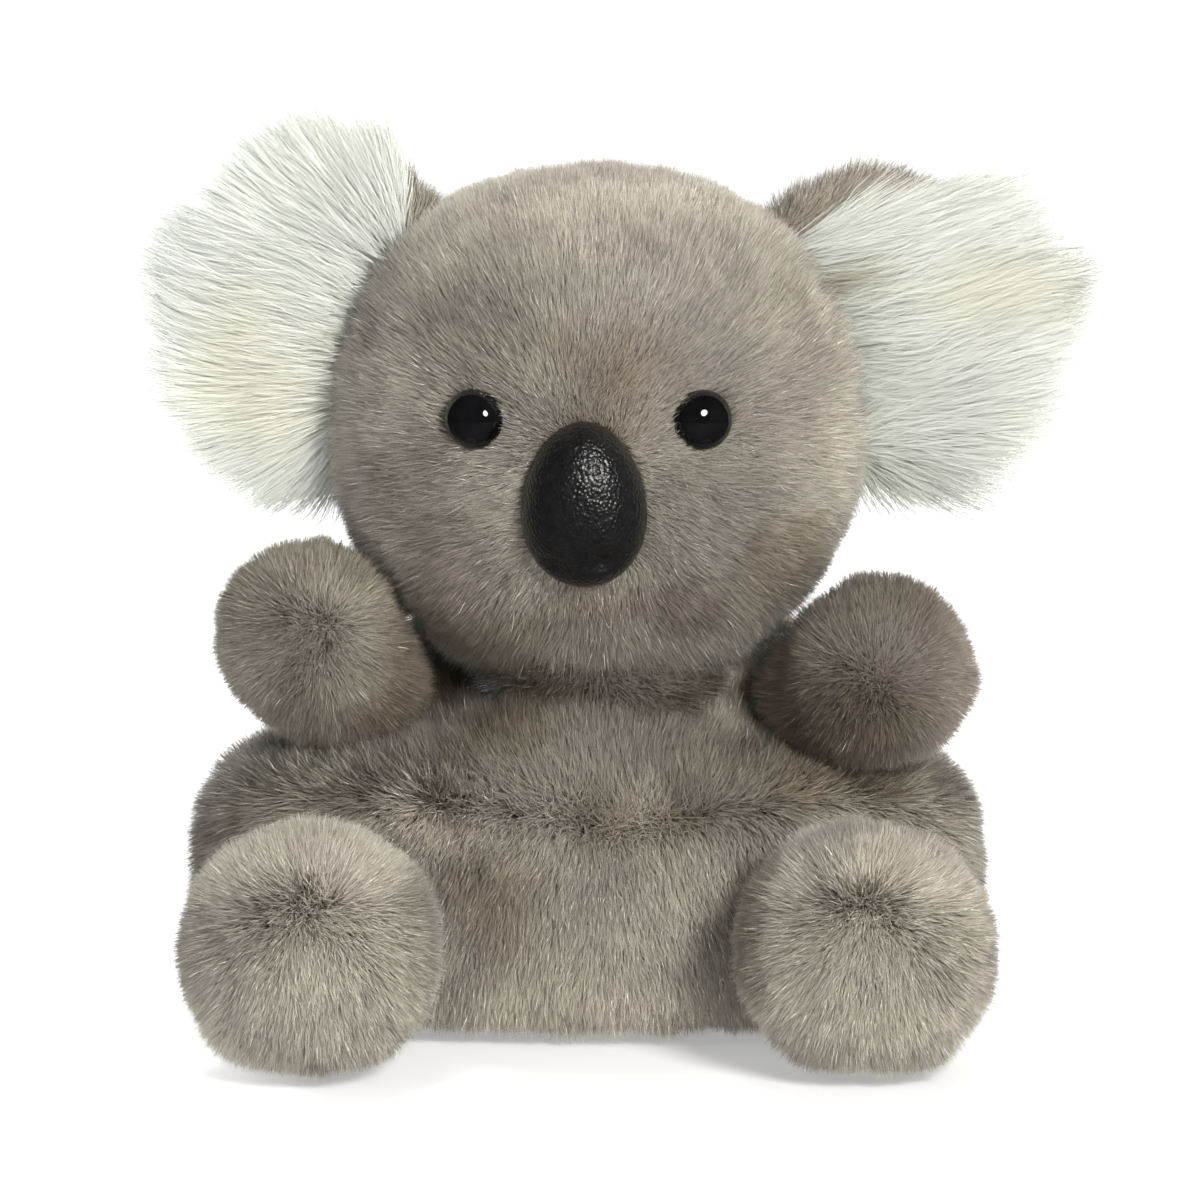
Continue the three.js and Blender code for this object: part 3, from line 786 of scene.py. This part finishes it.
# Dye and painted light and shade of the body. The mauve and peach patches and the first two brown ones are
# tones of the cloth; the others are painted light and shade, as marked.
BODY_DYE_AND_SHADING = dyed_and_shaded(
    ((-48, -8, 26), (6, 10, 6), MAUVE),
    ((-12, -23, 22), (8, 6, 9), BROWN),
    # painted shade between the belly and the right foot
    ((21, -23, 15), (4.5, 6, 14), PAINTED_DEEP_SHADE),
    ((30, -20, 35), (10, 10, 4), PEACH),
    # under the right paw: partly brown dye, partly painted shade
    ((38, -14, 35), (18, 14, 4), BROWN),
    # painted shade on the chest and the lap's roll, under the head
    ((2, -18, 39), (44, 34, 10), PAINTED_SHADE),
    ((-9, -16, 38), (8, 8, 2.5), BROWN),
    # painted shade under the chin and beside the right paw
    ((-13, 0, 44), (15, 10, 9), PAINTED_DEEP_SHADE),
    ((23, 0, 43), (6, 10, 6), PAINTED_DEEP_SHADE),
    # lighter low on the belly's front
    ((8, -23, 14), (12, 6, 12), PALE),
    # painted shade under the chin, painted light just below it on the right, and painted shade between the
    # head and the right paw
    ((-12, -6, 45.5), (16, 14, 8), PAINTED_DEEP_SHADE),
    ((13, -8, 46), (8, 10, 5), PAINTED_LIGHT),
    ((27, -2, 50), (7, 12, 8), PAINTED_SHADE),
    # painted shade on the lap's ridge, where the light catches it
    ((6, -23, 31), (10, 8, 6), BROWN),
    # painted light in the crease at the left end of the tummy, and low on the belly by the floor
    ((-20, -22, 31), (12, 10, 5), PAINTED_LIGHT),
    ((-22, -20, 32), (7, 8, 5), PAINTED_LIGHT),
    ((2, -23, 4), (28, 10, 9), PAINTED_LIGHT),
    ((14, -23, 3), (14, 10, 8), PAINTED_LIGHT),
)


def in_socket(places):
    """Inside the root ball of a limb."""
    sockets = [ball(limb_ends(side, kind)[0], radius - BACKING_DEPTH)
               for side in SIDES for kind, radius in (("arm", SHOULDER_RADIUS), ("leg", HIP_RADIUS))]
    return np.min([socket(places, 0) for socket in sockets], axis=0) < 0


def make_body():
    surface = star_surface(body_form, BACKING_DEPTH, mm(0, 4, 20), 90 * MM)
    look = {**SHORT_PILE, "length_share": body_length}
    front = ((0, BACK_SEAM, 0), (0, 1, 0))
    rear = ((0, BACK_SEAM, 0), (0, -1, 0))
    over_base = ((0, 0, BASE_SEAM), (0, 0, -1))
    under_base = ((0, 0, BASE_SEAM), (0, 0, 1))
    under_seam = ((0, 0, LAP_SEAM), (0, 0, 1))
    over_seam = ((0, 0, LAP_SEAM), (0, 0, -1))
    plush("belly_plush", "torso", "belly_panel", surface, [front, over_base, under_seam],
          comb_body, look, density=34, seed=40, skip=in_socket, dye_and_shading=BODY_DYE_AND_SHADING)
    plush("chest_plush", "torso", "chest_panel", surface, [front, over_seam],
          comb_body, look, density=40, seed=41, skip=in_socket, dye_and_shading=BODY_DYE_AND_SHADING)
    plush("back_plush", "torso", "back_panel", surface, [rear, over_base],
          comb_body, look, density=24, seed=42)
    plush("base_plush", "torso", "base_panel", surface, [under_base],
          comb_body, look, density=10, seed=43)
    surface.free()


# The neck's pile is dark all over: painted shade, for the gap under the chin where it shows.
NECK_PAINTED_SHADE = np.array(PAINTED_DEEP_SHADE) * 0.6
NECK_COMB = np.array([0, -0.1, -0.5])


def make_neck():
    centre = pivot("head_turn")
    surface = star_surface(ball(centre, NECK_RADIUS), 1 * MM, centre, 40 * MM)
    plush("neck_plush", "neck", "neck_stuffing", surface, [],
          lambda places: np.tile(NECK_COMB, (len(places), 1)), SHORT_PILE, density=24, seed=50,
          dye_and_shading=lambda places: np.tile(NECK_PAINTED_SHADE, (len(places), 1)))
    surface.free()


# Arms and legs

# Dye and painted light and shade of the paws, which are darker overall, the right one more.
PAW_DYE_AND_SHADING = {
    # left: mauve dye below, and brown painted shade on the inner side, beside the head
    "left": dyed_and_shaded(((-38, -12, 42), (16, 14, 7), MAUVE), ((-25, -8, 48), (8, 14, 16), BROWN),
                 base=(0.62, 0.61, 0.59)),
    # right: the deep patch on the side toward the chest is partly dark dye and partly painted shade; the
    # light patch on the outer side is painted light
    "right": dyed_and_shaded(((25, -13, 47), (10, 15, 15), PAINTED_DEEP_SHADE), ((34, -18, 42), (9, 10, 7), BROWN),
                  ((38, -18, 55), (10, 10, 6), DIM), ((48, -8, 48), (9, 16, 16), PAINTED_SIDE_LIGHT),
                  base=(0.50, 0.47, 0.46)),
}
# Dye and painted shade of the feet, which are lighter overall. The mauve on the outer sides is dye.
FOOT_DYE_AND_SHADING = {
    "left": dyed_and_shaded(((-51, -38, 16), (4, 10, 12), MAUVE), ((-36, -46, 26), (9, 7, 4), PALE),
                 # painted shade on the top, under the lap, and on the inner side, beside the belly
                 ((-37, -36, 36), (22, 22, 8), PAINTED_SHADE), ((-20, -38, 22), (5, 16, 12), PAINTED_SHADE),
                 base=(1.13, 1.14, 1.15)),
    "right": dyed_and_shaded(((51, -38, 16), (4, 10, 12), MAUVE), ((43, -46, 29), (11, 8, 5), DIM),
                  # painted shade on the top, under the lap, and on the inner side, beside the belly
                  ((37, -36, 36), (22, 22, 8), PAINTED_SHADE), ((19, -38, 23), (7, 18, 14), PAINTED_DEEP_SHADE),
                  base=(1.12, 1.13, 1.14)),
}

# Where the pile runs from: a parting over the seam of each foot, and a whorl in front of each paw's middle
PARTINGS = {"left": mm(0, 0, 6), "right": mm(3, 0, 7)}
WHORLS = {"left": mm(0.5, -12, 1.5), "right": mm(-1.5, -12, -0.5)}


def make_arm(side, seed):
    _, end = limb_ends(side, "arm")
    surface = star_surface(limb_form(side, "arm"), BACKING_DEPTH, end, 60 * MM)
    look = {**SHORT_PILE, "swirl": 0.6, "length": LIMB_PILE}
    whorl = end + WHORLS[side]
    half = mm(2, 0, 0)

    def comb(places):
        return from_line(places, whorl - half, whorl + half, 11 * MM)

    front = ((0, end[1], 0), (0, 1, 0))
    rear = ((0, end[1], 0), (0, -1, 0))
    plush(f"arm_front_plush_{side}", f"arm_{side}", f"arm_front_panel_{side}", surface, [front],
          comb, look, density=60, seed=seed, dye_and_shading=PAW_DYE_AND_SHADING[side])
    plush(f"arm_back_plush_{side}", f"arm_{side}", f"arm_back_panel_{side}", surface, [rear],
          comb, look, density=36, seed=seed + 1, dye_and_shading=PAW_DYE_AND_SHADING[side])
    surface.free()


def make_leg(side, seed):
    _, foot = limb_ends(side, "leg")
    surface = star_surface(limb_form(side, "leg"), BACKING_DEPTH, foot, 70 * MM)
    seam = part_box(f"leg_top_panel_{side}")[0][2] - SEAM_HALF
    parting = np.array([foot[0], foot[1] - FOOT_RADIUS * 0.78, seam]) + PARTINGS[side]
    half = mm(7, 0, 0)
    look = {**SHORT_PILE, "length": LIMB_PILE}
    pressed = {**look, "length_share": body_length}

    def comb(places):
        return from_line(places, parting - half, parting + half, 7 * MM)

    over_seam = ((0, 0, seam), (0, 0, -1))
    under_seam = ((0, 0, seam), (0, 0, 1))
    plush(f"leg_top_plush_{side}", f"leg_{side}", f"leg_top_panel_{side}", surface, [over_seam],
          comb, look, density=50, seed=seed, dye_and_shading=FOOT_DYE_AND_SHADING[side])
    plush(f"leg_sole_plush_{side}", f"leg_{side}", f"leg_sole_panel_{side}", surface, [under_seam],
          comb, pressed, density=44, seed=seed + 1, dye_and_shading=FOOT_DYE_AND_SHADING[side])
    surface.free()


# Ears. The cloth is smaller than the CAD pad, which stands for cloth and long hair together. Its middle is
# given from the ear's root, and so are the ends of the hub, the line that the hair runs from. The grey of the
# back folds over to the front from a corner on, in the direction that is given.

EARS = {
    "left": {
        "middle": mm(-3, 0, 1), "half": mm(15, 3.6, 20),
        "hub": (-6 * MM, 9 * MM), "hair": 9.5 * MM,
        "grey_from": (-2.5 * MM, 17.5 * MM), "grey_to": (-0.9, 0.3),
        "dye_and_shading": dyed_and_shaded(((-38, 3, 85), (9, 6, 12), CREAM)),
    },
    "right": {
        "middle": mm(4, 0, 3.2), "half": mm(17, 3.6, 18.4),
        "hub": (-10 * MM, 16 * MM), "hair": 12 * MM,
        "grey_from": (0, 17.5 * MM), "grey_to": (0, 1),
        # The right ear is darker overall, painted shade, and so is the brown patch at its fold by the head;
        # the cream is a tone of the cloth.
        "dye_and_shading": dyed_and_shaded(((46, 3, 93), (9, 6, 6), CREAM), ((29.6, 3.4, 96.4), (4, 4, 1.8), BROWN),
                    base=(0.82, 0.82, 0.81)),
    },
}


def make_ear(side, seed):
    sign, ear = SIDES[side], EARS[side]
    root = pivot(f"ear_{side}_fold")
    turn = np.array(Matrix.Rotation(-sign * EAR_LEAN, 3, "Y"))
    pad = blob(-ear["half"], ear["half"], plan_power=2, rise_power=2)
    middle = root + turn @ ear["middle"]
    out, back, up = turn[:, 0] * sign, turn[:, 1], turn[:, 2]

    def form(points, shrink):
        return np.maximum(pad((points - middle) @ turn, shrink), -head_form(points, EAR_SEAT))

    surface = star_surface(form, 0, middle + out * 5 * MM, 60 * MM)
    low, high = ear["hub"]
    hub = root - out * 5 * MM

    def comb(places):
        return from_line(places, hub + up * low, hub + up * high, 2 * MM) + out * 0.3

    (aside, above), (to_side, to_top) = ear["grey_from"], ear["grey_to"]
    corner = root + out * aside + up * above - back * 3.6 * MM
    split = [(root + back * 1 * MM, back), (corner, unit(out * to_side + up * to_top + back * 0.4))]
    hair = {**LONG_PILE, "length": ear["hair"], "turned": -0.7 * back}
    plush(f"ear_front_plush_{side}", f"ear_{side}", f"ear_front_{side}", surface, split,
          comb, hair, density=36, seed=seed, cloths=WHITE, dye_and_shading=ear["dye_and_shading"])
    plush(f"ear_back_plush_{side}", f"ear_{side}", f"ear_back_{side}", surface, split,
          comb, SHORT_PILE, density=45, seed=seed + 1, rest=True)
    surface.free()


# Eyes and nose

EYE_RADII = mm(3.9, 3.9)
EYE_HEIGHT = 3.1 * MM
NOSE_RADII = mm(7.9, 10.8)
NOSE_HEIGHT = 7 * MM
NOSE_TAPER = 0.12
NOSTRILS = [(mm(-3.9, -6.6), mm(2.0, 1.5), 1.1 * MM), (mm(2.4, -6.2), mm(2.0, 1.5), 1.1 * MM)]


def button_frame(node, height):
    """The middle of a button's base, its outward direction, and the directions across and up its face."""
    points = np.array([v.co for v in bpy.data.objects[node].data.vertices])
    washer = sum(node_box(f"{node}_washer")) / 2
    out = unit(points.mean(axis=0) - washer)
    base = washer + out * (((points - washer) @ out).max() - height)
    across = unit(np.cross(out, [0, 0, 1]) * -1)
    return base, out, across, np.cross(across, out) * -1


def dome(name, node, radii, height, dents, taper, material):
    """A moulded button: a dome with a rolled rim, and shallow dents in its face."""
    base, out, across, up = button_frame(node, height)
    around, rings = 96, 48
    turns = np.arange(around) / around * 2 * math.pi
    rise = np.linspace(-0.35, math.pi / 2, rings)[:, None]
    reach = np.cos(rise) ** 0.92 * np.where(rise < 0, 1 + rise * 0.3, 1)
    flat = np.stack([reach * np.cos(turns), reach * np.sin(turns)], axis=2)
    side = flat[..., 0] * (1 - taper * flat[..., 1]) * radii[0]
    tall = flat[..., 1] * radii[1]
    depth = np.sin(rise) * height * np.ones_like(side)
    for middle, size, amount in dents:
        gap = ((side - middle[0]) / size[0]) ** 2 + ((tall - middle[1]) / size[1]) ** 2
        depth = depth - amount * np.exp(-gap * 1.6)
    points = base + side[..., None] * across + tall[..., None] * up + depth[..., None] * out
    mesh = bpy.data.meshes.new(name)
    faces = []
    for ring in range(rings - 1):
        for step in range(around):
            after = (step + 1) % around
            low, high = ring * around, (ring + 1) * around
            faces.append((low + step, low + after, high + after, high + step))
    faces.append(tuple(range(around))[::-1])
    mesh.from_pydata(points.reshape(-1, 3).tolist(), [], faces)
    mesh.validate()
    mesh.shade_smooth()
    mesh.materials.append(material)
    made = bpy.data.objects.new(name, mesh)
    bpy.context.scene.collection.objects.link(made)
    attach(made, "head")
    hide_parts(node)


def eye_material():
    """Polished black plastic with a faint cloud deep in it."""
    material, nodes, links, shader = new_material("eye_gloss")
    tone = colour_ramp(nodes, [(0.3, (0.002, 0.002, 0.002)), (0.8, (0.005, 0.005, 0.006))])
    links.new(noise(nodes, links, 400), tone.inputs[0])
    links.new(tone.outputs[0], shader.inputs["Base Color"])
    shader.inputs["Roughness"].default_value = 0.06
    shader.inputs["Specular IOR Level"].default_value = 0.45
    return material


def nose_material():
    """Black plastic moulded with a fine leather grain."""
    material, nodes, links, shader = new_material("nose_grain")
    tone = colour_ramp(nodes, [(0.3, (0.003, 0.003, 0.003)), (0.8, (0.007, 0.007, 0.008))])
    links.new(noise(nodes, links, 700), tone.inputs[0])
    links.new(tone.outputs[0], shader.inputs["Base Color"])
    shader.inputs["Roughness"].default_value = 0.35
    shader.inputs["Specular IOR Level"].default_value = 0.5
    place = nodes.new("ShaderNodeTexCoord")
    pebbles = nodes.new("ShaderNodeTexVoronoi")
    pebbles.feature = "SMOOTH_F1"
    pebbles.inputs["Scale"].default_value = 2100
    pebbles.inputs["Smoothness"].default_value = 0.6
    bumps = nodes.new("ShaderNodeBump")
    bumps.inputs["Strength"].default_value = 1
    bumps.inputs["Distance"].default_value = 0.16 * MM
    bumps.invert = True
    links.new(place.outputs["Object"], pebbles.inputs["Vector"])
    links.new(pebbles.outputs["Distance"], bumps.inputs["Height"])
    links.new(bumps.outputs["Normal"], shader.inputs["Normal"])
    return material


def make_buttons():
    gloss, grain = eye_material(), nose_material()
    for side in SIDES:
        dome(f"eye_button_{side}", f"eye_{side}", EYE_RADII, EYE_HEIGHT, [], 0, gloss)
    dome("nose_button", "nose", NOSE_RADII, NOSE_HEIGHT, NOSTRILS, NOSE_TAPER, grain)


# What is inside: the CAD solids stay, with their own materials


def inner_material(name, dark, light, scale, bump, roughness, kind="NOISE"):
    """Two tones in a grain of the given scale and kind, which is raised by the bump."""
    material, nodes, links, shader = new_material(name)
    place = nodes.new("ShaderNodeTexCoord")
    grain = nodes.new("ShaderNodeTexNoise" if kind == "NOISE" else "ShaderNodeTexVoronoi")
    grain.inputs["Scale"].default_value = scale
    links.new(place.outputs["Object"], grain.inputs["Vector"])
    value = grain.outputs["Fac" if kind == "NOISE" else "Distance"]
    tone = colour_ramp(nodes, [(0.2, dark), (0.75, light)])
    links.new(value, tone.inputs[0])
    links.new(tone.outputs[0], shader.inputs["Base Color"])
    bumps = nodes.new("ShaderNodeBump")
    bumps.inputs["Strength"].default_value = 0.6
    bumps.inputs["Distance"].default_value = bump
    links.new(value, bumps.inputs["Height"])
    links.new(bumps.outputs["Normal"], shader.inputs["Normal"])
    shader.inputs["Roughness"].default_value = roughness
    return material


def dress_inner():
    fibre = inner_material("loose_fibre", (0.68, 0.66, 0.62), (0.86, 0.85, 0.82), 700, 0.3 * MM, 0.95)
    cloth = inner_material("bag_weave", (0.52, 0.50, 0.45), (0.66, 0.63, 0.58), 1800, 0.1 * MM, 0.9)
    # The thread is darker than its own taupe: painted shade, for the gap under the chin where it shows.
    thread = inner_material("seam_thread", (0.10, 0.085, 0.07), (0.21, 0.18, 0.155), 2500, 0.1 * MM, 0.8)
    beads = inner_material("pellet_plastic", (0.42, 0.43, 0.41), (0.58, 0.59, 0.57), 420, 0.5 * MM, 0.4,
                           kind="VORONOI")
    plastic = inner_material("washer_plastic", (0.70, 0.69, 0.64), (0.76, 0.75, 0.71), 300, 0.02 * MM, 0.45)
    dresses = {
        fibre: ("body_stuffing", "head_stuffing", "arm_stuffing_left", "arm_stuffing_right",
                "leg_stuffing_left", "leg_stuffing_right"),
        cloth: ("pellet_bag",),
        thread: ("neck_seam_thread",),
        beads: ("pellets",),
        plastic: ("nose_washer", "eye_left_washer", "eye_right_washer"),
    }
    for material, nodes in dresses.items():
        for node in nodes:
            slots = bpy.data.objects[node].data.materials
            slots.clear()
            slots.append(material)


# Studio

FLOOR_HALF = 4
LAMP_TARGET = Vector((0, 0, 0.06))
LAMPS = (  # name, place, size, watts and colour
    ("key", (0.31, -0.72, 0.40), 0.26, 8.5, (1.0, 0.98, 0.95)),
    ("fill", (-0.7, -0.6, 0.38), 0.5, 1.2, (0.90, 0.94, 1.0)),
    ("top", (-0.04, 0.22, 0.92), 0.45, 6.5, (1.0, 1.0, 1.0)),
)


def floor_material():
    """White paper that glows, painted light, so that the shadow on it stays pale. The glow is weaker in an
    oval around the koala, a painted soft shadow; in reflections the paper is near black and does not glow.
    """
    material, nodes, links, shader = new_material("white_paper")
    tone = colour_ramp(nodes, [(0.0, (0.80, 0.80, 0.80)), (1.0, (0.83, 0.83, 0.83))])
    links.new(noise(nodes, links, 5), tone.inputs[0])
    seen = path_strength(nodes, links, "Is Glossy Ray", 0.0, 1.0)
    colour = mixed(nodes, links, "MIX", seen, tone.outputs[0], (0.03, 0.03, 0.03, 1))
    links.new(colour, shader.inputs["Base Color"])
    shader.inputs["Roughness"].default_value = 0.95
    shader.inputs["Emission Color"].default_value = (1, 1, 1, 1)
    # The glow is weaker in an oval around the koala: a painted soft shadow.
    place = nodes.new("ShaderNodeTexCoord")
    oval = nodes.new("ShaderNodeMapping")
    oval.inputs["Location"].default_value = (-0.09, 0.3, 0)
    oval.inputs["Scale"].default_value = (1 / 0.066, 1 / 0.1, 1)
    links.new(place.outputs["Object"], oval.inputs["Vector"])
    reach = nodes.new("ShaderNodeVectorMath")
    reach.operation = "LENGTH"
    links.new(oval.outputs["Vector"], reach.inputs[0])
    far = nodes.new("ShaderNodeMapRange")
    far.inputs["From Min"].default_value = 0.6
    far.inputs["From Max"].default_value = 1.0
    far.inputs["To Min"].default_value = 0.36
    far.inputs["To Max"].default_value = 1.0
    links.new(reach.outputs["Value"], far.inputs["Value"])
    strength = path_strength(nodes, links, "Is Glossy Ray", far.outputs[0], 0.0)
    links.new(strength, shader.inputs["Emission Strength"])
    return material


def path_strength(nodes, links, ray, usual, then):
    """A strength that differs for one kind of ray."""
    path = nodes.new("ShaderNodeLightPath")
    strength = nodes.new("ShaderNodeMapRange")
    links.new(path.outputs[ray], strength.inputs["Value"])
    for name, value in (("To Min", usual), ("To Max", then)):
        if isinstance(value, bpy.types.NodeSocket):
            links.new(value, strength.inputs[name])
        else:
            strength.inputs[name].default_value = value
    return strength.outputs["Result"]


def make_stage():
    mesh = bpy.data.meshes.new("floor")
    corners = [(x * FLOOR_HALF, y * FLOOR_HALF, 0) for x, y in ((-1, -1), (1, -1), (1, 1), (-1, 1))]
    mesh.from_pydata(corners, [], [(0, 1, 2, 3)])
    mesh.materials.append(floor_material())
    floor = bpy.data.objects.new("floor", mesh)
    bpy.context.scene.collection.objects.link(floor)
    make_world()
    for name, place, size, power, colour in LAMPS:
        lamp = bpy.data.lights.new(name, "AREA")
        lamp.shape = "DISK"
        lamp.size = size
        lamp.energy = power
        lamp.color = colour
        made = bpy.data.objects.new(name, lamp)
        made.location = place
        made.rotation_euler = (LAMP_TARGET - Vector(place)).to_track_quat("-Z", "Y").to_euler()
        made.visible_glossy = name == "key"
        bpy.context.scene.collection.objects.link(made)


def make_world():
    """White behind the koala, and a softer white as light."""
    world = bpy.data.worlds.new("studio")
    world.use_nodes = True
    nodes, links = world.node_tree.nodes, world.node_tree.links
    backdrop = nodes["Background"]
    backdrop.inputs["Color"].default_value = (1, 1, 1, 1)
    light = path_strength(nodes, links, "Is Glossy Ray", 0.24, 0.03)
    links.new(path_strength(nodes, links, "Is Camera Ray", light, 1.05), backdrop.inputs["Strength"])
    bpy.context.scene.world = world


def make_camera():
    lens = bpy.data.cameras.new("camera")
    lens.sensor_width = SENSOR_WIDTH
    lens.lens = SENSOR_WIDTH * VIEW_DISTANCE / VIEW_WIDTH
    lens.clip_start = 0.05
    made = bpy.data.objects.new("camera", lens)
    back = Vector((0, -math.cos(VIEW_ELEVATION), math.sin(VIEW_ELEVATION)))
    made.location = VIEW_TARGET + back * VIEW_DISTANCE
    made.rotation_euler = (-back).to_track_quat("-Z", "Y").to_euler()
    bpy.context.scene.collection.objects.link(made)
    bpy.context.scene.camera = made


make_camera()
make_stage()
make_head()
make_body()
make_neck()
make_buttons()
dress_inner()
for number, side in enumerate(SIDES):
    make_arm(side, 60 + 10 * number)
    make_leg(side, 80 + 10 * number)
    make_ear(side, 100 + 10 * number)

bpy.context.scene.view_settings.view_transform = "Standard"
